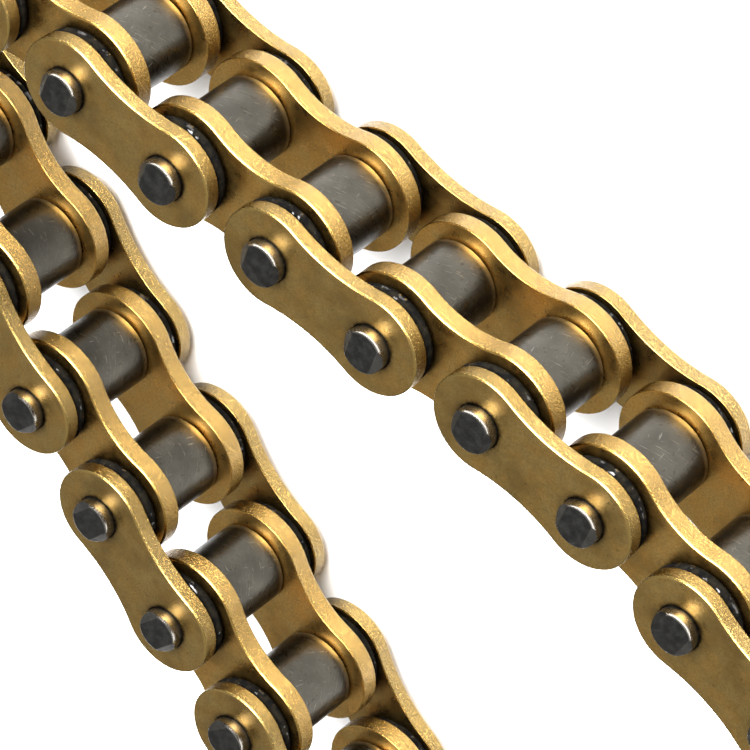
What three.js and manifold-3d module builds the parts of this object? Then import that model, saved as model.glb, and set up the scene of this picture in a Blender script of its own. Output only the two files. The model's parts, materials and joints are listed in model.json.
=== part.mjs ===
// A motorcycle drive chain: a length of sealed roller chain that lies on its side, folded back on itself.
//
// Units are millimetres and +Z points up. The links lie flat, so every pin stands upright on the floor, and
// the chain bends in the XY plane. Joints are numbered from 1, at the free end of the run that lies along X,
// round the fold and back to the other free end. Inner links (two plates pressed on two bushings) and outer
// links (two plates pressed on two pins) take turns, and a roller turns on each bushing.
import * as THREE from "three";
import { mergeVertices } from "three/addons/utils/BufferGeometryUtils.js";
import Module from "manifold-3d";

const wasm = await Module();
wasm.setup();

// Size of the chain
const PITCH = 12.7; // from one pin to the next
const ROLLER_RADIUS = 4.255;
const INNER_WIDTH = 7.94; // between the inner plates
const INNER_THICKNESS = 2.0;
const INNER_HEAD_RADIUS = 5.9;
const INNER_WAIST_RADIUS = 11.0; // of the hollow curve in each long side of a plate
const OUTER_THICKNESS = 1.6;
const OUTER_HEAD_RADIUS = 5.2;
const OUTER_WAIST_RADIUS = 17.6;
const SEAL_GAP = 1.65; // between an inner plate and the outer plate beside it
const PIN_RADIUS = 2.225;
const PIN_LENGTH = 21.2;
const PIN_CHAMFER = 0.3;
const BUSHING_RADIUS = 3.1;
const BUSHING_STANDOUT = 0.35; // how far a bushing stands out of its plate, under the seal
const SEAL_RING_RADIUS = 4.3;
const SEAL_CORD_RADIUS = 0.8;

// Clearances
const RUNNING_CLEARANCE = 0.04; // on the radius, between parts that turn on each other
const ROLLER_END_CLEARANCE = 0.1;
const PRESSED_CLEARANCE = 0.05; // on the radius, round a pin or bushing that is a node of its own

// Facets
const SHAFT_SIDES = 12;
const ROLLER_SIDES = 16;
const HEAD_STEPS = 10;
const WAIST_STEPS = 4;
const SEAL_CORD_SIDES = 6;

// How the chain lies: the heading of the first link, and the turn at each joint between two links
const FIRST_HEADING_DEG = 170;
const BENDS_DEG = [
  0, 0, 10, 8, -5, 2, -5, 3, -14.5, // the run along X
  34, 71, 53.5, 7, // the fold
  0, -2, 4, -3, 1, -6, 0, // the run that comes back
];

// The links whose pins, bushings, plates and seals are nodes of their own
const SEPARATE_LINKS = ["outer_link_02", "inner_link_03", "outer_link_03"];
const SEALED_JOINTS = [4, 5, 6, 7];

const INNER_FACE = INNER_WIDTH / 2;
const INNER_OUTSIDE = INNER_FACE + INNER_THICKNESS;
const OUTER_INSIDE = INNER_OUTSIDE + SEAL_GAP;
const MID_HEIGHT = PIN_LENGTH / 2;
const SEAL_HEIGHT = INNER_OUTSIDE + SEAL_GAP / 2;

const metal = (color, roughness) => new THREE.MeshStandardMaterial({ color, roughness, metalness: 1 });
const MATERIALS = {
  outer: () => metal(0x9a7a45, 0.35),
  inner: () => metal(0xb08a48, 0.32),
  pin: () => metal(0x3a3a3c, 0.4),
  bushing: () => metal(0x77736a, 0.35),
  roller: () => metal(0x6d6a66, 0.38),
  seal: () => new THREE.MeshStandardMaterial({ color: 0x0c0c0d, roughness: 0.3, metalness: 0 }),
};

const twoDigits = (number) => String(number).padStart(2, "0");

// Points along an arc, both ends included.
function arc(x, y, radius, from, to, steps) {
  return Array.from({ length: steps + 1 }, (_, i) => {
    const angle = from + ((to - from) * i) / steps;
    return new THREE.Vector2(x + radius * Math.cos(angle), y + radius * Math.sin(angle));
  });
}

const circle = (x, radius, sides) => arc(x, 0, radius, 0, 2 * Math.PI, sides).slice(0, sides);

// The radius of a many-sided hole that a round shaft with the given clearance can turn in.
const boreRadius = (shaftRadius, clearance) =>
  (shaftRadius + clearance) / Math.cos(Math.PI / SHAFT_SIDES);

// A figure-of-eight plate with its heads round (0, 0) and (PITCH, 0), from z = bottom upwards.
function plateGeometry(headRadius, waistRadius, thickness, bottom, holeRadius) {
  const half = PITCH / 2;
  const rise = Math.sqrt((headRadius + waistRadius) ** 2 - half ** 2);
  const lean = Math.atan2(rise, half);
  const upperWaist = arc(half, rise, waistRadius, -lean, lean - Math.PI, WAIST_STEPS);
  const lowerWaist = arc(half, -rise, waistRadius, Math.PI - lean, lean, WAIST_STEPS);
  const shape = new THREE.Shape([
    ...arc(PITCH, 0, headRadius, lean - Math.PI, Math.PI - lean, HEAD_STEPS),
    ...upperWaist.slice(1, -1),
    ...arc(0, 0, headRadius, lean, 2 * Math.PI - lean, HEAD_STEPS),
    ...lowerWaist.slice(1, -1),
  ]);
  if (holeRadius) {
    for (const x of [0, PITCH]) shape.holes.push(new THREE.Path(circle(x, holeRadius, SHAFT_SIDES)));
  }
  const geometry = new THREE.ExtrudeGeometry(shape, { depth: thickness, bevelEnabled: false });
  return geometry.translate(0, 0, bottom);
}

// A solid of revolution about an upright axis at x; the profile holds [radius, z] pairs.
function turned(x, profile, sides) {
  const points = profile.map(([radius, z]) => new THREE.Vector2(radius, z));
  return new THREE.LatheGeometry(points, sides, Math.PI / 2)
    .rotateX(Math.PI / 2)
    .translate(x, 0, 0);
}

function rodGeometry(x, radius, halfLength, chamfer = 0) {
  const corner = chamfer
    ? [[radius - chamfer, halfLength], [radius, halfLength - chamfer]]
    : [[radius, halfLength]];
  const lower = corner.map(([r, z]) => [r, -z]);
  return turned(x, [[0, -halfLength], ...lower, ...corner.reverse(), [0, halfLength]], SHAFT_SIDES);
}

function tubeGeometry(x, outerRadius, innerRadius, halfLength, sides) {
  const profile = [
    [innerRadius, -halfLength],
    [outerRadius, -halfLength],
    [outerRadius, halfLength],
    [innerRadius, halfLength],
    [innerRadius, -halfLength],
  ];
  return turned(x, profile, sides);
}

function sealGeometry(x, height) {
  const profile = arc(SEAL_RING_RADIUS, 0, SEAL_CORD_RADIUS, 0, 2 * Math.PI, SEAL_CORD_SIDES);
  return turned(x, profile.map((point) => [point.x, point.y + height]), SHAFT_SIDES);
}

const pinGeometry = (x) => rodGeometry(x, PIN_RADIUS, PIN_LENGTH / 2, PIN_CHAMFER);

const bushingBore = boreRadius(PIN_RADIUS, RUNNING_CLEARANCE);
const bushingGeometry = (x) =>
  tubeGeometry(x, BUSHING_RADIUS, bushingBore, INNER_OUTSIDE + BUSHING_STANDOUT, SHAFT_SIDES);

function rollerGeometry(x) {
  const bore = boreRadius(BUSHING_RADIUS, RUNNING_CLEARANCE);
  return tubeGeometry(x, ROLLER_RADIUS, bore, INNER_FACE - ROLLER_END_CLEARANCE, ROLLER_SIDES);
}

const outerPlate = (bottom, hole) =>
  plateGeometry(OUTER_HEAD_RADIUS, OUTER_WAIST_RADIUS, OUTER_THICKNESS, bottom, hole);

const innerPlate = (bottom, hole) =>
  plateGeometry(INNER_HEAD_RADIUS, INNER_WAIST_RADIUS, INNER_THICKNESS, bottom, hole);

function solidFrom(geometry) {
  const bare = geometry.clone();
  bare.deleteAttribute("normal");
  bare.deleteAttribute("uv");
  const merged = mergeVertices(bare, 1e-4);
  return new wasm.Manifold(
    new wasm.Mesh({
      numProp: 3,
      vertProperties: new Float32Array(merged.attributes.position.array),
      triVerts: new Uint32Array(merged.index.array),
    }),
  );
}

function geometryFrom(solid) {
  const mesh = solid.getMesh();
  const geometry = new THREE.BufferGeometry();
  geometry.setAttribute("position", new THREE.BufferAttribute(mesh.vertProperties, 3));
  geometry.setIndex(new THREE.BufferAttribute(mesh.triVerts, 1));
  geometry.computeVertexNormals();
  return geometry;
}

const joined = (geometries) =>
  geometryFrom(geometries.map(solidFrom).reduce((whole, piece) => whole.add(piece)));

function node(group, name, geometry, material) {
  const mesh = new THREE.Mesh(geometry, MATERIALS[material]());
  mesh.name = name;
  group.add(mesh);
}

// Two plates riveted on two pins.
function addOuterLink(group, name) {
  const bottoms = { top: OUTER_INSIDE, bottom: -OUTER_INSIDE - OUTER_THICKNESS };
  if (SEPARATE_LINKS.includes(name)) {
    const hole = boreRadius(PIN_RADIUS, PRESSED_CLEARANCE);
    for (const [side, z] of Object.entries(bottoms)) {
      node(group, `${name}_${side}_plate`, outerPlate(z, hole), "outer");
    }
    node(group, `${name}_first_pin`, pinGeometry(0), "pin");
    node(group, `${name}_second_pin`, pinGeometry(PITCH), "pin");
    return;
  }
  const plates = Object.values(bottoms).map((z) => outerPlate(z));
  node(group, name, joined([...plates, pinGeometry(0), pinGeometry(PITCH)]), "outer");
}

// Two plates pressed on two bushings.
function addInnerLink(group, name) {
  const bottoms = { top: INNER_FACE, bottom: -INNER_OUTSIDE };
  if (SEPARATE_LINKS.includes(name)) {
    const hole = boreRadius(BUSHING_RADIUS, PRESSED_CLEARANCE);
    for (const [side, z] of Object.entries(bottoms)) {
      node(group, `${name}_${side}_plate`, innerPlate(z, hole), "inner");
    }
    node(group, `${name}_first_bushing`, bushingGeometry(0), "bushing");
    node(group, `${name}_second_bushing`, bushingGeometry(PITCH), "bushing");
    return;
  }
  // The plate's hole ends half way through the bushing's wall, so the two join.
  const hiddenHole = (BUSHING_RADIUS + bushingBore) / 2;
  const plates = Object.values(bottoms).map((z) => innerPlate(z, hiddenHole));
  node(group, name, joined([...plates, bushingGeometry(0), bushingGeometry(PITCH)]), "inner");
}

function addSeals(group, joint, x) {
  node(group, `seal_${twoDigits(joint)}_top`, sealGeometry(x, SEAL_HEIGHT), "seal");
  node(group, `seal_${twoDigits(joint)}_bottom`, sealGeometry(x, -SEAL_HEIGHT), "seal");
}

const chain = new THREE.Group();
const cursor = new THREE.Vector2();
let heading = THREE.MathUtils.degToRad(FIRST_HEADING_DEG);

for (let index = 0; index <= BENDS_DEG.length; index += 1) {
  const link = new THREE.Group();
  link.position.set(cursor.x, cursor.y, MID_HEIGHT);
  link.rotation.z = heading;
  const joint = index + 1;
  if (index % 2 === 0) {
    addInnerLink(link, `inner_link_${twoDigits(index / 2 + 1)}`);
    [0, PITCH].forEach((x, end) => {
      node(link, `roller_${twoDigits(joint + end)}`, rollerGeometry(x), "roller");
      if (SEALED_JOINTS.includes(joint + end)) addSeals(link, joint + end, x);
    });
  } else {
    addOuterLink(link, `outer_link_${twoDigits((index + 1) / 2)}`);
  }
  chain.add(link);
  cursor.add(new THREE.Vector2(PITCH * Math.cos(heading), PITCH * Math.sin(heading)));
  heading += THREE.MathUtils.degToRad(BENDS_DEG[index] ?? 0);
}

// The origin is on the floor, under the middle of the chain's outline.
const middle = new THREE.Box3().setFromObject(chain, true).getCenter(new THREE.Vector3());
chain.position.set(-middle.x, -middle.y, 0);

export default chain;
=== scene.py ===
import json
import math
import random

import bmesh
import bpy
from mathutils import Matrix, Vector


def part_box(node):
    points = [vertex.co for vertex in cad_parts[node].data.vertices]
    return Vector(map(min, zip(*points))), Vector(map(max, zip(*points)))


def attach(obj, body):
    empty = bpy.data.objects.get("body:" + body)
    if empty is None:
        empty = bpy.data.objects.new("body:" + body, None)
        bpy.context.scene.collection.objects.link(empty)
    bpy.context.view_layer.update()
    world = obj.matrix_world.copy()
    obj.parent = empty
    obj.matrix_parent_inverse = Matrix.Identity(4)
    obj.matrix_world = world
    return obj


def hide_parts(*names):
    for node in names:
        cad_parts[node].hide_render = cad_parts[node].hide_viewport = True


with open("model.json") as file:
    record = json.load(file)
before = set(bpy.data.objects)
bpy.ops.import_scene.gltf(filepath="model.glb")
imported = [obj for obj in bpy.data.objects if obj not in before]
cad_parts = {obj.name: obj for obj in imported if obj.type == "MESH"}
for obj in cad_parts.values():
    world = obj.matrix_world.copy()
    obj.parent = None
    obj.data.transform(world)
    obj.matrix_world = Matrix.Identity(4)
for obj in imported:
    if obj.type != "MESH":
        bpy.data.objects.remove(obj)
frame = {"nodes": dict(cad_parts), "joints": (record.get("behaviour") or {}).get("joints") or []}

MM = 0.001
RANDOM = random.Random(428)

JOINTS = {joint["name"]: joint for joint in frame["joints"]}
POINT_COUNT = sum(name.startswith("roller_spin_") for name in JOINTS)
POINTS = [Vector(JOINTS[f"roller_spin_{n:02d}"]["pos_m"]) / MM for n in range(1, POINT_COUNT + 1)]
PITCH = (POINTS[1] - POINTS[0]).length
MID_HEIGHT = POINTS[0].z


def heights(node):
    """A node's lowest and highest z from the chain's mid plane, in millimetres."""
    low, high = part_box(node)
    return low.z / MM - MID_HEIGHT, high.z / MM - MID_HEIGHT


# Levels along the pins, from the frame
OUTER_INSIDE, OUTER_OUTSIDE = heights("outer_link_02_top_plate")
INNER_FACE, INNER_OUTSIDE = heights("inner_link_03_top_plate")
PIN_END = heights("outer_link_02_first_pin")[1]
BUSHING_END = heights("inner_link_03_first_bushing")[1]
ROLLER_END = heights("roller_01")[1]
SEAL_LOW, SEAL_HIGH = heights("seal_04_top")

# Radii
ROLLER_RADIUS = 4.255
BUSHING_RADIUS = 3.1
PIN_RADIUS = 2.225
OUTER_HEAD_RADIUS = 5.2
OUTER_WAIST_RADIUS = 17.6
INNER_HEAD_RADIUS = 5.9
INNER_WAIST_RADIUS = 11.0
SEAL_RING_RADIUS = 4.3
SEAL_CORD_RADIUS = 0.8
FIT_GAP = 0.012
RUNNING_GAP = 0.04

# Facets
HEAD_STEPS = 44
WAIST_STEPS = 10
MIDDLE_STEPS = 10
ROUND_SIDES = 72
ROUNDING_STEPS = 4
SEAL_CORD_STEPS = 20
MERGE_WITHIN = 1e-4


# ------------------------------------------------------------------------------------ camera

# The place, aim, roll and lens of a camera fitted to the photo, in millimetres in the CAD frame
CAMERA_AT = Vector((112.3, 357.7, 293.5))
CAMERA_TARGET = Vector((4.2, 21.3, 10.6))
CAMERA_ROLL_DEG = -126.7
CAMERA_LENS_MM = 233.6


def add_camera():
    camera = bpy.data.objects.new("camera", bpy.data.cameras.new("camera"))
    camera.data.sensor_width = 36.0
    camera.data.lens = CAMERA_LENS_MM
    camera.data.clip_start = 0.01
    look = (CAMERA_AT - CAMERA_TARGET).to_track_quat("Z", "Y").to_matrix().to_4x4()
    roll = Matrix.Rotation(math.radians(CAMERA_ROLL_DEG), 4, "Z")
    camera.matrix_world = Matrix.Translation(CAMERA_AT * MM) @ look @ roll
    bpy.context.scene.collection.objects.link(camera)
    bpy.context.scene.camera = camera


# ------------------------------------------------------------------------------------ materials

class Look:
    """One material, and short calls that add nodes to it."""

    def __init__(self, name):
        self.material = bpy.data.materials.new(name)
        self.material.use_nodes = True
        self.tree = self.material.node_tree
        self.tree.nodes.clear()
        self.shader = self.add("ShaderNodeBsdfPrincipled")
        output = self.tree.nodes.new("ShaderNodeOutputMaterial")
        self.tree.links.new(self.shader.outputs[0], output.inputs["Surface"])
        # Where a point is on its link, in millimetres, and the same moved differently on each piece
        self.place = self.attribute("place")
        self.varied = self.maths("ADD", self.place, self.attribute("shift"), vector=True)

    def add(self, kind, inputs=(), **settings):
        node = self.tree.nodes.new(kind)
        for key, value in settings.items():
            setattr(node, key, value)
        for key, value in dict(inputs).items():
            self.put(node.inputs[key], value)
        return node

    def put(self, socket, value):
        if isinstance(value, bpy.types.NodeSocket):
            self.tree.links.new(value, socket)
        else:
            socket.default_value = value

    def set(self, **values):
        """Sets sockets of the shader, with spaces in their names written as underscores."""
        for key, value in values.items():
            self.put(self.shader.inputs[key.replace("_", " ")], value)

    def attribute(self, name, output="Vector"):
        return self.add("ShaderNodeAttribute", attribute_name=name).outputs[output]

    def maths(self, operation, a, b=None, vector=False):
        kind = "ShaderNodeVectorMath" if vector else "ShaderNodeMath"
        inputs = {0: a} if b is None else {0: a, 1: b}
        return self.add(kind, inputs, operation=operation).outputs[0]

    def stretched(self, scale, turn_deg=(0, 0, 0)):
        """The varied place with each axis scaled, turned first, for a grain that runs one way."""
        turned = [math.radians(angle) for angle in turn_deg]
        turn = self.add("ShaderNodeMapping", {"Vector": self.varied, "Rotation": turned})
        stretch = self.add("ShaderNodeMapping", {"Vector": turn.outputs[0], "Scale": scale})
        return stretch.outputs[0]

    def noise(self, vector, scale, detail=2.0, roughness=0.5):
        inputs = {"Vector": vector, "Scale": scale, "Detail": detail, "Roughness": roughness}
        return self.add("ShaderNodeTexNoise", inputs).outputs["Fac"]

    def between(self, value, low, high, out_low=0.0, out_high=1.0):
        inputs = {0: value, 1: low, 2: high, 3: out_low, 4: out_high}
        return self.add("ShaderNodeMapRange", inputs, interpolation_type="SMOOTHSTEP").outputs[0]

    def mix(self, factor, a, b):
        node = self.tree.nodes.new("ShaderNodeMix")
        node.data_type = "RGBA"
        for key, value in ((0, factor), (6, a), (7, b)):
            self.put(node.inputs[key], (*value, 1) if isinstance(value, tuple) else value)
        return node.outputs[2]

    def bump(self, height, depth_mm, normal=None):
        inputs = {"Height": height, "Distance": depth_mm * MM, "Strength": 1.0}
        if normal is not None:
            inputs["Normal"] = normal
        return self.add("ShaderNodeBump", inputs).outputs[0]


# A near-black brown, for dirt specks and for painted shade with grease
DIRT_AND_SHADE = (0.022, 0.014, 0.005)
# The plating's own colour, its stains and its bright flecks
OUTER_GOLD = ((0.41, 0.275, 0.090), (0.18, 0.115, 0.034), (0.46, 0.32, 0.10))
# The inner plates' base is painted lighter and redder than the outer plates' to lift the shade they sit in
# between the outer plates
INNER_GOLD_PAINTED_LIGHTER = ((0.52, 0.325, 0.095), (0.20, 0.120, 0.032), (0.44, 0.290, 0.080))


def plate_look(name, base, dark, bright):
    """Gold-coloured plating on a stamped plate: satin faces with stains, duller sheared rims with a coarse
    grain, and rounded corners painted lighter for wear and a painted highlight. Painted shade with grease
    darkens it round the holes and by the seals."""
    look = Look(name)
    edge = look.attribute("edge", "Fac")
    rim = look.between(edge, 0.45, 1.0)
    corner = look.maths("SUBTRACT", look.between(edge, 0.0, 0.35), rim)
    # Painted shade with grease, from the mesh: round the holes and by the seals
    shade_and_grease = look.attribute("shade_and_grease", "Fac")

    # Faces: a fine grain, a browner cast in places, a few large stains and some dark specks
    stains = look.between(look.noise(look.varied, 0.16, 3.0, 0.6), 0.45, 0.72)
    grain = look.noise(look.varied, 5.0, 4.0, 0.75)
    cast = look.noise(look.varied, 0.45, 3.0, 0.6)
    specks = look.between(look.noise(look.varied, 2.4, 2.0, 0.6), 0.66, 0.74)
    brown = tuple(value * share for value, share in zip(base, (1.04, 0.93, 0.78)))
    face = look.mix(look.between(cast, 0.35, 0.65), base, brown)
    face = look.mix(look.between(grain, 0.3, 0.7, 0.55, 0.0), face, dark)
    face = look.mix(look.maths("MULTIPLY", stains, 0.6), face, dark)
    face = look.mix(look.maths("MULTIPLY", specks, 0.35), face, DIRT_AND_SHADE)

    # Rims: duller, with a coarse grain of pale flecks and brown pits from shearing and tumbling
    fleck = look.noise(look.stretched((1.0, 1.0, 2.0)), 6.0, 4.0, 0.75)
    middle = tuple(value * 0.42 for value in base)
    murky = tuple(value * 0.6 for value in dark)
    side = look.mix(look.between(fleck, 0.38, 0.50), murky, middle)
    side = look.mix(look.between(fleck, 0.52, 0.62), side, bright)
    pits = look.between(look.noise(look.stretched((1.0, 1.0, 1.5)), 7.0, 3.0, 0.7), 0.50, 0.60)
    side = look.mix(look.maths("MULTIPLY", pits, 0.6), side, murky)
    colour = look.mix(rim, face, side)
    # Rounded corners painted lighter: wear, and a painted highlight along every edge
    colour = look.mix(look.maths("MULTIPLY", corner, 0.8), colour, bright)
    # Painted shade with grease, broken into patches, darkens the colour towards near-black brown
    patchy = look.between(look.noise(look.varied, 2.0, 3.0), 0.25, 0.6, 0.4, 1.0)
    shade_and_grease_patches = look.maths("MULTIPLY", shade_and_grease, patchy)
    look.set(Base_Color=look.mix(shade_and_grease_patches, colour, DIRT_AND_SHADE), Metallic=1.0)

    scratch_a = look.noise(look.stretched((0.25, 9.0, 0.25), (0, 0, 38)), 1.0, 2.0, 0.6)
    scratch_b = look.noise(look.stretched((7.0, 0.2, 0.2), (0, 0, -21)), 1.0, 2.0, 0.6)
    marks_a = look.between(scratch_a, 0.70, 0.82)
    marks_b = look.between(scratch_b, 0.70, 0.82)
    scratches = look.maths("MAXIMUM", marks_a, marks_b)
    face_rough = look.between(look.noise(look.varied, 0.7, 4.0, 0.6), 0.25, 0.75, 0.25, 0.36)
    face_rough = look.maths("SUBTRACT", face_rough, look.maths("MULTIPLY", scratches, 0.08))
    rough = look.mix(rim, face_rough, look.between(fleck, 0.3, 0.7, 0.25, 0.14))
    look.set(Roughness=look.mix(corner, rough, (0.2, 0.2, 0.2)))

    normal = look.bump(look.noise(look.varied, 7.0, 3.0, 0.7), 0.014)
    hammered = look.noise(look.stretched((1.0, 1.0, 1.8)), 3.6, 4.0, 0.65)
    normal = look.bump(look.maths("MULTIPLY", hammered, rim), 0.15, normal)
    normal = look.bump(look.maths("MULTIPLY", scratches, -1.0), 0.008, normal)
    look.set(Normal=normal)
    return look.material


def roller_look():
    """Grey steel, scuffed all over by short slanting scratches, with rounded corners painted lighter for
    wear and a painted highlight.
    """
    look = Look("roller_steel")
    tone = look.noise(look.varied, 0.35, 3.0, 0.6)
    brushed = look.noise(look.stretched((0.8, 0.8, 5.0), (0, 28, 0)), 1.0, 4.0, 0.7)
    scratch_a = look.noise(look.stretched((0.5, 0.5, 9.0), (35, 20, 0)), 1.0, 2.0, 0.55)
    scratch_b = look.noise(look.stretched((8.0, 0.5, 0.6), (0, 15, 40)), 1.0, 2.0, 0.55)
    marks_a = look.between(scratch_a, 0.64, 0.74)
    marks_b = look.between(scratch_b, 0.66, 0.76)
    scratches = look.maths("MAXIMUM", marks_a, marks_b)
    steel = look.mix(look.between(tone, 0.3, 0.7), (0.032, 0.030, 0.025), (0.049, 0.046, 0.038))
    streaks = look.maths("MULTIPLY", look.between(brushed, 0.35, 0.7), 0.4)
    steel = look.mix(streaks, steel, (0.036, 0.033, 0.027))
    steel = look.mix(look.maths("MULTIPLY", scratches, 0.5), steel, (0.16, 0.15, 0.13))
    pits = look.between(look.noise(look.varied, 1.4, 5.0, 0.75), 0.58, 0.65)
    steel = look.mix(look.maths("MULTIPLY", pits, 0.7), steel, (0.02, 0.017, 0.012))
    # The rounded ends painted lighter: wear, and a painted highlight
    wear_and_highlight = look.maths("MULTIPLY", look.attribute("edge", "Fac"), 0.6)
    steel = look.mix(wear_and_highlight, steel, (0.30, 0.28, 0.23))
    look.set(Base_Color=steel, Metallic=1.0)
    look.set(Roughness=look.between(brushed, 0.3, 0.75, 0.26, 0.42))
    normal = look.bump(brushed, 0.012)
    normal = look.bump(look.maths("MULTIPLY", scratches, -1.0), 0.010, normal)
    look.set(Normal=normal)
    return look.material


def pin_look():
    """Blued steel, almost black, with faint tool marks on its ends, a chamfer painted lighter for wear and
    a painted highlight, painted shade down the side towards the plate, and stake facets lighter at random.
    """
    look = Look("pin_steel")
    edge = look.attribute("edge", "Fac")
    fine = look.noise(look.stretched((6.0, 0.5, 0.5), (0, 0, 30)), 1.0, 4.0, 0.7)
    blot = look.noise(look.varied, 1.1, 3.0, 0.6)
    steel = look.mix(look.between(blot, 0.3, 0.7), (0.038, 0.037, 0.034), (0.052, 0.051, 0.047))
    tool_marks = look.maths("MULTIPLY", look.between(fine, 0.55, 0.75), 0.4)
    steel = look.mix(tool_marks, steel, (0.12, 0.116, 0.11))
    # Lighter where edge is high: wear and a painted highlight at the chamfer, fading to painted shade down
    # the side towards the plate; stake facets get a random lighter tone
    steel = look.mix(edge, steel, (0.30, 0.28, 0.25))
    look.set(Base_Color=steel, Metallic=1.0)
    matt = look.between(blot, 0.3, 0.7, 0.30, 0.45)
    look.set(Roughness=look.mix(edge, matt, (0.2, 0.2, 0.2)))
    look.set(Normal=look.bump(fine, 0.008))
    return look.material


def bushing_look():
    """Ground steel, lightly oiled."""
    look = Look("bushing_steel")
    ground = look.noise(look.stretched((0.4, 0.4, 12.0)), 1.0, 3.0, 0.6)
    steel = look.mix(look.between(ground, 0.3, 0.7), (0.30, 0.29, 0.27), (0.44, 0.42, 0.39))
    look.set(Base_Color=steel, Metallic=1.0)
    look.set(Roughness=look.between(ground, 0.3, 0.7, 0.24, 0.36))
    look.set(Normal=look.bump(ground, 0.004))
    return look.material


def seal_look():
    """Black rubber, wet with grease in patches."""
    look = Look("seal_rubber")
    film = look.noise(look.varied, 1.3, 3.0, 0.6)
    rubber = look.mix(look.between(film, 0.35, 0.65), (0.003, 0.003, 0.003), (0.008, 0.007, 0.005))
    wet = look.between(look.noise(look.varied, 1.2, 2.0, 0.5), 0.60, 0.68, 0.0, 0.8)
    look.set(Base_Color=rubber, Specular_IOR_Level=0.0, Coat_Weight=wet, Coat_Roughness=0.03)
    look.set(Roughness=look.between(film, 0.3, 0.7, 0.3, 0.5))
    look.set(Normal=look.bump(film, 0.06))
    return look.material


def floor_look():
    look = Look("pale_floor")
    look.set(Base_Color=(0.92, 0.92, 0.92, 1), Roughness=0.9)
    return look.material


# ------------------------------------------------------------------------------------ meshes

class Shape:
    """A mesh in a link's frame, in millimetres, with values per vertex that mark edges, for rims, wear and
    painted highlights, and that mark painted shade with grease.
    """

    def __init__(self):
        self.bm = bmesh.new()
        self.edge = self.bm.verts.layers.float.new("edge")
        self.shade_and_grease = self.bm.verts.layers.float.new("shade_and_grease")

    def vertex(self, x, y, z, edge=0.0, shade_and_grease=0.0):
        made = self.bm.verts.new((x, y, z))
        made[self.edge] = edge
        made[self.shade_and_grease] = shade_and_grease
        return made

    def quads(self, ring_a, ring_b, closed=True):
        count = len(ring_a)
        for i in range(count if closed else count - 1):
            j = (i + 1) % count
            self.bm.faces.new((ring_a[i], ring_a[j], ring_b[j], ring_b[i]))


def arc_points(x, y, radius, start, end, steps):
    angles = (start + (end - start) * i / steps for i in range(steps + 1))
    return [(x + radius * math.cos(a), y + radius * math.sin(a)) for a in angles]


def half_outline(head_radius, waist_radius, inset):
    """A plate's outline round the head at the origin, moved in by inset. It runs from the top of the
    waist's middle round the head to the bottom of it, and then the points up the middle follow."""
    half = PITCH / 2
    rise = math.sqrt((head_radius + waist_radius) ** 2 - half ** 2)
    lean = math.atan2(rise, half)
    head, waist = head_radius - inset, waist_radius + inset
    top = arc_points(half, rise, waist, -math.pi / 2, lean - math.pi, WAIST_STEPS)
    round_head = arc_points(0, 0, head, lean, 2 * math.pi - lean, HEAD_STEPS)
    bottom = arc_points(half, -rise, waist, math.pi - lean, math.pi / 2, WAIST_STEPS)
    rim = top + round_head[1:-1] + bottom
    reach = rise - waist
    middle = [(half, -reach + 2 * reach * i / MIDDLE_STEPS) for i in range(1, MIDDLE_STEPS)]
    return rim, middle


class PlateForm:
    """What tells one kind of plate from the other."""

    def __init__(self, head_radius, waist_radius, hole_radius, collar, seal_side):
        self.head_radius = head_radius
        self.waist_radius = waist_radius
        self.hole_radius = hole_radius
        self.collar = collar  # how far the metal stands up round the hole
        self.seal_side = seal_side  # the side that the seals touch


OUTER_FORM = PlateForm(OUTER_HEAD_RADIUS, OUTER_WAIST_RADIUS, PIN_RADIUS + FIT_GAP, 0.07, "back")
INNER_FORM = PlateForm(INNER_HEAD_RADIUS, INNER_WAIST_RADIUS, BUSHING_RADIUS + FIT_GAP, 0.0, "front")
FRONT_ROUNDING = 0.22
BACK_ROUNDING = 0.10
HOLE_CHAMFER = 0.09
COLLAR_AT = 0.15
COLLAR_WIDTH = 0.42
# How dark painted shade with grease makes a plate by the seals, how far it reaches and how softly it fades
# there, and how fast it fades away from every hole
SEAL_SHADE_AND_GREASE = 0.6
SHADE_AND_GREASE_REACH = SEAL_RING_RADIUS + SEAL_CORD_RADIUS
SHADE_AND_GREASE_FADE = 0.2
HOLE_SHADE_AND_GREASE_FADE = 0.3
FACE_SHARES = (0.03, 0.06, 0.10, 0.14, 0.19, 0.24, 0.30, 0.38, 0.5, 0.65, 0.85, 0.95, 1.0)


def plate_shape(form, inside, outside):
    """A stamped plate. Its edge is rounder on the side that faces away from the chain's middle."""
    shape = Shape()
    up = 1 if outside > inside else -1
    sides = {"front": (outside, FRONT_ROUNDING, up), "back": (inside, BACK_ROUNDING, -up)}
    for mirrored in (False, True):
        rims = []
        edges = {}
        for side, (level, rounding, direction) in sides.items():
            rim, middle = half_outline(form.head_radius, form.waist_radius, rounding)
            outline = rim + middle
            touches_seals = side == form.seal_side
            rings = face_rings(shape, form, outline, level, direction, mirrored, touches_seals)
            join_rings(shape, rings)
            edges[side] = rings
            corner = rounded_rim(shape, form, level, rounding, direction, mirrored, rings[-1][:len(rim)])
            rims.append(corner)
        join_rings(shape, rims[0], closed=False)
        join_rings(shape, rims[1], closed=False)
        shape.quads(rims[0][-1], rims[1][-1], closed=False)
        shape.quads(edges["front"][0], edges["back"][0])
    bmesh.ops.remove_doubles(shape.bm, verts=shape.bm.verts, dist=MERGE_WITHIN)
    bmesh.ops.recalc_face_normals(shape.bm, faces=shape.bm.faces)
    return shape


def placed_x(x, mirrored):
    return PITCH - x if mirrored else x


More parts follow.
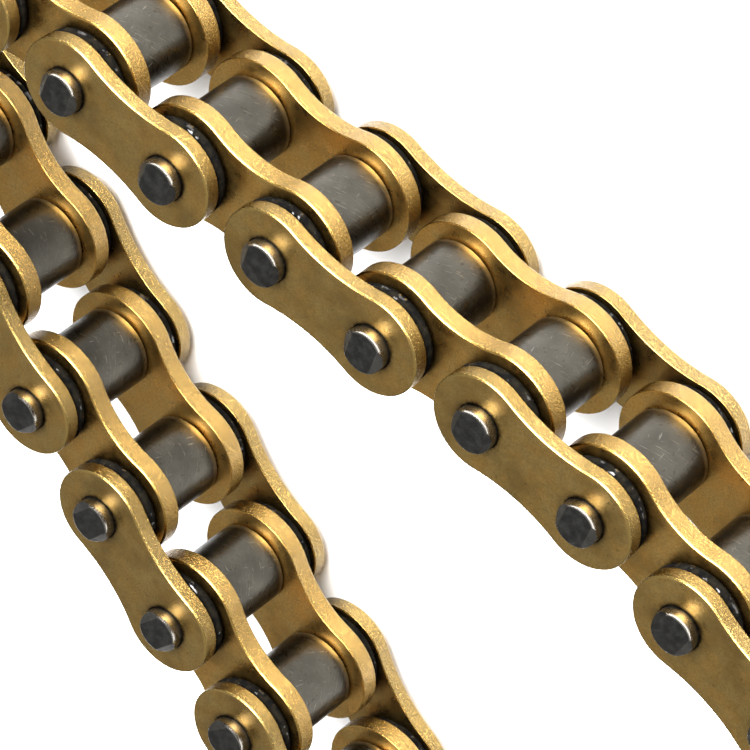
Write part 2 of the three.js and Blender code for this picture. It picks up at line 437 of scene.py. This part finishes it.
def face_rings(shape, form, outline, level, direction, mirrored, touches_seals):
    """Rings of vertices on one broad face, from the hole's edge to the rounding of the rim."""
    rings = []
    hole = [math.atan2(y, x) for x, y in outline]
    # The hole's edge and chamfer are fully darkened by painted shade with grease
    for radius, drop in ((form.hole_radius, HOLE_CHAMFER), (form.hole_radius + HOLE_CHAMFER, 0.0)):
        z = level + direction * (form.collar * math.exp(-(COLLAR_AT / COLLAR_WIDTH) ** 2) - drop)
        rings.append([
            shape.vertex(placed_x(radius * math.cos(a), mirrored), radius * math.sin(a), z, 0.0, 1.0)
            for a in hole
        ])
    start = form.hole_radius + HOLE_CHAMFER
    for share in FACE_SHARES:
        ring = []
        for angle, (x, y) in zip(hole, outline):
            near = Vector((start * math.cos(angle), start * math.sin(angle)))
            spot = near.lerp(Vector((x, y)), share)
            away = spot.length - start
            z = level + direction * form.collar * math.exp(-((away - COLLAR_AT) / COLLAR_WIDTH) ** 2)
            # Painted shade with grease: fading out from the hole, and on the side the seals touch held
            # dark out to the seals' reach
            shade_and_grease = math.exp(-away / HOLE_SHADE_AND_GREASE_FADE)
            if touches_seals:
                past = (spot.length - SHADE_AND_GREASE_REACH) / SHADE_AND_GREASE_FADE
                shade_and_grease = max(shade_and_grease, SEAL_SHADE_AND_GREASE / (1 + math.exp(past)))
            ring.append(shape.vertex(placed_x(spot.x, mirrored), spot.y, z, 0.0, shade_and_grease))
        rings.append(ring)
    return rings


def rounded_rim(shape, form, level, rounding, direction, mirrored, first):
    """Rings from a face's outer edge round the corner to the plate's rim."""
    rings = [first]
    for i in range(1, ROUNDING_STEPS + 1):
        angle = math.pi / 2 * i / ROUNDING_STEPS
        inset = rounding * (1 - math.sin(angle))
        z = level - direction * rounding * (1 - math.cos(angle))
        rim, _ = half_outline(form.head_radius, form.waist_radius, inset)
        edge = i / ROUNDING_STEPS
        rings.append([shape.vertex(placed_x(x, mirrored), y, z, edge) for x, y in rim])
    return rings


def join_rings(shape, rings, closed=True):
    for a, b in zip(rings, rings[1:]):
        shape.quads(a, b, closed)


def turned_shape(profile, x, capped=False):
    """A solid of revolution about the pin's axis at x. The profile holds (radius, z, edge) corners.
    It closes on itself, or is capped by a flat face at both ends."""
    shape = Shape()
    rings = []
    for radius, z, edge in profile:
        turns = (2 * math.pi * i / ROUND_SIDES for i in range(ROUND_SIDES))
        rings.append([
            shape.vertex(x + radius * math.cos(a), radius * math.sin(a), z, edge) for a in turns
        ])
    join_rings(shape, rings)
    if capped:
        shape.bm.faces.new(rings[0])
        shape.bm.faces.new(rings[-1])
    else:
        shape.quads(rings[-1], rings[0])
    bmesh.ops.recalc_face_normals(shape.bm, faces=shape.bm.faces)
    return shape


def rounded_tube(outer, inner, end, rounding, bore_chamfer, x):
    """A tube from -end to end along z, with rounded outer corners and chamfered bore ends."""
    upper = [(inner, end - bore_chamfer, 0.0), (inner + bore_chamfer, end, 0.3)]
    for i in range(ROUNDING_STEPS + 1):
        angle = math.pi / 2 * i / ROUNDING_STEPS
        radius = outer - rounding * (1 - math.sin(angle))
        upper.append((radius, end - rounding * (1 - math.cos(angle)), 1.0 if i else 0.5))
    inset = min(0.5, end / 4)
    upper.append((outer, end - rounding - inset, 0.0))
    lower = [(radius, -z, edge) for radius, z, edge in reversed(upper)]
    return turned_shape(upper + lower, x)


def roller_shape(x):
    return rounded_tube(ROLLER_RADIUS, BUSHING_RADIUS + RUNNING_GAP, ROLLER_END, 0.28, 0.15, x)


def bushing_shape(x):
    return rounded_tube(BUSHING_RADIUS, PIN_RADIUS + RUNNING_GAP, BUSHING_END, 0.12, 0.12, x)


PIN_CORNER = 0.2
STAKE_FROM = 1.5  # where the flattened crescent at each side of a pin's end begins
STAKE_SLOPE_DEG = 33.0
STAKE_SOFTENING = 0.05
SHARP_ABOVE_DEG = 12.0


def pin_shape(x):
    """A pin with a narrow chamfer, and a slanting facet at both sides of each end, along the link. The
    part that stands out of the plate is painted lighter at its chamfer, wear with a painted highlight, and
    darker towards the plate, a painted shade."""
    corner = PIN_END - PIN_CORNER
    upper = [
        (PIN_RADIUS - PIN_CORNER, PIN_END, 0.0),
        (PIN_RADIUS - PIN_CORNER * 0.3, PIN_END - PIN_CORNER * 0.3, 1.0),
        (PIN_RADIUS, corner, 0.8),
        (PIN_RADIUS, corner - 0.3, 0.6),
        (PIN_RADIUS, OUTER_OUTSIDE + 0.6, 0.5),
        (PIN_RADIUS, OUTER_OUTSIDE + 0.15, 0.0),
    ]
    lower = [(radius, -z, edge) for radius, z, edge in reversed(upper)]
    shape = turned_shape(upper + lower, x, capped=True)
    for end in (1, -1):
        for side in (1, -1):
            stake(shape, x, end, side)
    bmesh.ops.recalc_face_normals(shape.bm, faces=shape.bm.faces)
    return shape


def stake(shape, x, end, side):
    """Cuts one slanting facet, whose upper line is STAKE_FROM from the pin's axis."""
    slope = math.radians(STAKE_SLOPE_DEG)
    normal = Vector((side * math.sin(slope), 0, end * math.cos(slope)))
    start = Vector((x + side * STAKE_FROM, 0, end * PIN_END))
    parts = shape.bm.verts[:] + shape.bm.edges[:] + shape.bm.faces[:]
    cut = bmesh.ops.bisect_plane(
        shape.bm, geom=parts, dist=1e-5, plane_co=start, plane_no=normal, clear_outer=True,
    )
    rim = [item for item in cut["geom_cut"] if isinstance(item, bmesh.types.BMEdge)]
    face = bmesh.ops.contextual_create(shape.bm, geom=rim)["faces"][0]
    shine = RANDOM.uniform(0.0, 0.3)
    for vertex in face.verts:
        vertex[shape.edge] = shine
    sharp = [e for e in face.edges if e.calc_face_angle(0) > math.radians(SHARP_ABOVE_DEG)]
    bmesh.ops.bevel(
        shape.bm, geom=sharp, offset=STAKE_SOFTENING, segments=2, affect="EDGES", profile=0.6,
    )


def seal_shape(x, low, high):
    """A rubber ring, pressed a little flat between its plates."""
    middle = (low + high) / 2
    squeeze = (high - low) / 2 / SEAL_CORD_RADIUS
    profile = []
    for i in range(SEAL_CORD_STEPS):
        angle = 2 * math.pi * i / SEAL_CORD_STEPS
        radius = SEAL_RING_RADIUS + SEAL_CORD_RADIUS * math.cos(angle)
        profile.append((radius, middle + SEAL_CORD_RADIUS * squeeze * math.sin(angle), 0.0))
    return turned_shape(profile, x)


# ------------------------------------------------------------------------------------ pieces

SMOOTH_BELOW_DEG = 32


def add_piece(name, shape, place, look, body, replaced):
    """Turns a shape into an object in its place that rides on a body and stands for CAD nodes."""
    mesh = bpy.data.meshes.new(name)
    shape.bm.to_mesh(mesh)
    shape.bm.free()
    at = mesh.attributes.new("place", "FLOAT_VECTOR", "POINT")
    at.data.foreach_set("vector", [value for vertex in mesh.vertices for value in vertex.co])
    moved = [RANDOM.uniform(-400, 400) for _ in range(3)]
    shift = mesh.attributes.new("shift", "FLOAT_VECTOR", "POINT")
    shift.data.foreach_set("vector", moved * len(mesh.vertices))
    mesh.transform(place)
    mesh.shade_smooth()
    mesh.set_sharp_from_angle(angle=math.radians(SMOOTH_BELOW_DEG))
    mesh.materials.append(look)
    piece = bpy.data.objects.new(name, mesh)
    bpy.context.scene.collection.objects.link(piece)
    weighted = piece.modifiers.new("even_faces", "WEIGHTED_NORMAL")
    weighted.keep_sharp = True
    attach(piece, body)
    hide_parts(replaced)
    return piece


def own_node(separate, fused):
    """The node that a piece stands for: one of its own where the frame has it, or its whole link."""
    return separate if separate in frame["nodes"] else fused


def add_outer_link(number, first_point, place, looks):
    link = f"outer_link_{number:02d}"
    levels = {"top": (OUTER_INSIDE, OUTER_OUTSIDE), "bottom": (-OUTER_INSIDE, -OUTER_OUTSIDE)}
    for side, (inside, outside) in levels.items():
        shape = plate_shape(OUTER_FORM, inside, outside)
        node = own_node(f"{link}_{side}_plate", link)
        name = f"outer_plate_{number:02d}_{side}"
        add_piece(name, shape, place, looks["outer"], link, node)
    for offset, which in enumerate(("first", "second")):
        node = own_node(f"{link}_{which}_pin", link)
        name = f"pin_{first_point + offset:02d}"
        add_piece(name, pin_shape(PITCH * offset), place, looks["pin"], link, node)


def add_inner_link(number, first_point, place, looks):
    link = f"inner_link_{number:02d}"
    levels = {"top": (INNER_FACE, INNER_OUTSIDE), "bottom": (-INNER_FACE, -INNER_OUTSIDE)}
    for side, (inside, outside) in levels.items():
        shape = plate_shape(INNER_FORM, inside, outside)
        node = own_node(f"{link}_{side}_plate", link)
        name = f"inner_plate_{number:02d}_{side}"
        add_piece(name, shape, place, looks["inner"], link, node)
    for offset, which in enumerate(("first", "second")):
        x, point = PITCH * offset, first_point + offset
        node = own_node(f"{link}_{which}_bushing", link)
        name = f"bushing_{point:02d}"
        add_piece(name, bushing_shape(x), place, looks["bushing"], link, node)
        roller = f"roller_{point:02d}"
        add_piece(f"steel_{roller}", roller_shape(x), place, looks["roller"], roller, roller)
        if 1 < point < POINT_COUNT:
            add_seals(link, point, x, place, looks)


def add_seals(link, point, x, place, looks):
    for side, (low, high) in {"top": (SEAL_LOW, SEAL_HIGH), "bottom": (-SEAL_HIGH, -SEAL_LOW)}.items():
        node = own_node(f"seal_{point:02d}_{side}", link)
        shape = seal_shape(x, low, high)
        add_piece(f"seal_ring_{point:02d}_{side}", shape, place, looks["seal"], link, node)


def add_chain():
    looks = {
        "outer": plate_look("outer_plate_gold", *OUTER_GOLD),
        "inner": plate_look("inner_plate_gold_painted_lighter", *INNER_GOLD_PAINTED_LIGHTER),
        "pin": pin_look(),
        "bushing": bushing_look(),
        "roller": roller_look(),
        "seal": seal_look(),
    }
    for index, (first, second) in enumerate(zip(POINTS, POINTS[1:])):
        along = second - first
        turn = Matrix.Rotation(math.atan2(along.y, along.x), 4, "Z")
        place = Matrix.Scale(MM, 4) @ Matrix.Translation(first) @ turn
        add = add_outer_link if index % 2 else add_inner_link
        add(index // 2 + 1, index + 1, place, looks)


# ------------------------------------------------------------------------------------ studio

FLOOR_HALF = 1.5  # metres
WORLD_RAMP = (0.0, 0.7, 0.15, 0.58)  # from this height to this, the light grows from this to this


def add_floor():
    bm = bmesh.new()
    corners = [(-1, -1), (1, -1), (1, 1), (-1, 1)]
    bm.faces.new([bm.verts.new((x * FLOOR_HALF, y * FLOOR_HALF, 0)) for x, y in corners])
    mesh = bpy.data.meshes.new("floor")
    bm.to_mesh(mesh)
    bm.free()
    mesh.materials.append(floor_look())
    floor = bpy.data.objects.new("floor", mesh)
    bpy.context.scene.collection.objects.link(floor)


def add_softbox(name, direction, distance, size, watts):
    """A square soft light that faces the chain, in metres."""
    light = bpy.data.lights.new(name, "AREA")
    light.shape = "SQUARE"
    light.size = size
    light.energy = watts
    softbox = bpy.data.objects.new(name, light)
    away = Vector(direction).normalized()
    turn = away.to_track_quat("Z", "Y").to_matrix().to_4x4()
    softbox.matrix_world = Matrix.Translation(away * distance) @ turn
    bpy.context.scene.collection.objects.link(softbox)


def add_surroundings():
    """Even light from all round that is dimmer near the horizon."""
    world = bpy.data.worlds.new("studio")
    world.use_nodes = True
    tree = world.node_tree
    direction = tree.nodes.new("ShaderNodeTexCoord").outputs["Generated"]
    parts = tree.nodes.new("ShaderNodeSeparateXYZ")
    tree.links.new(direction, parts.inputs[0])
    ramp = tree.nodes.new("ShaderNodeMapRange")
    tree.links.new(parts.outputs["Z"], ramp.inputs[0])
    for index, value in enumerate(WORLD_RAMP, start=1):
        ramp.inputs[index].default_value = value
    tree.links.new(ramp.outputs[0], tree.nodes["Background"].inputs["Strength"])
    tree.nodes["Background"].inputs["Color"].default_value = (1, 1, 1, 1)
    bpy.context.scene.world = world


def add_studio():
    add_floor()
    add_surroundings()
    add_softbox("main", (-0.15, 0.75, 0.85), 1.3, 0.95, 84)
    add_softbox("overhead", (-0.05, 0.35, 1.0), 1.4, 0.5, 15)
    add_softbox("key", (-0.25, 0.90, 0.45), 0.9, 0.3, 9)
    bpy.context.scene.view_settings.view_transform = "Standard"


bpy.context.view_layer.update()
add_camera()
add_chain()
add_studio()
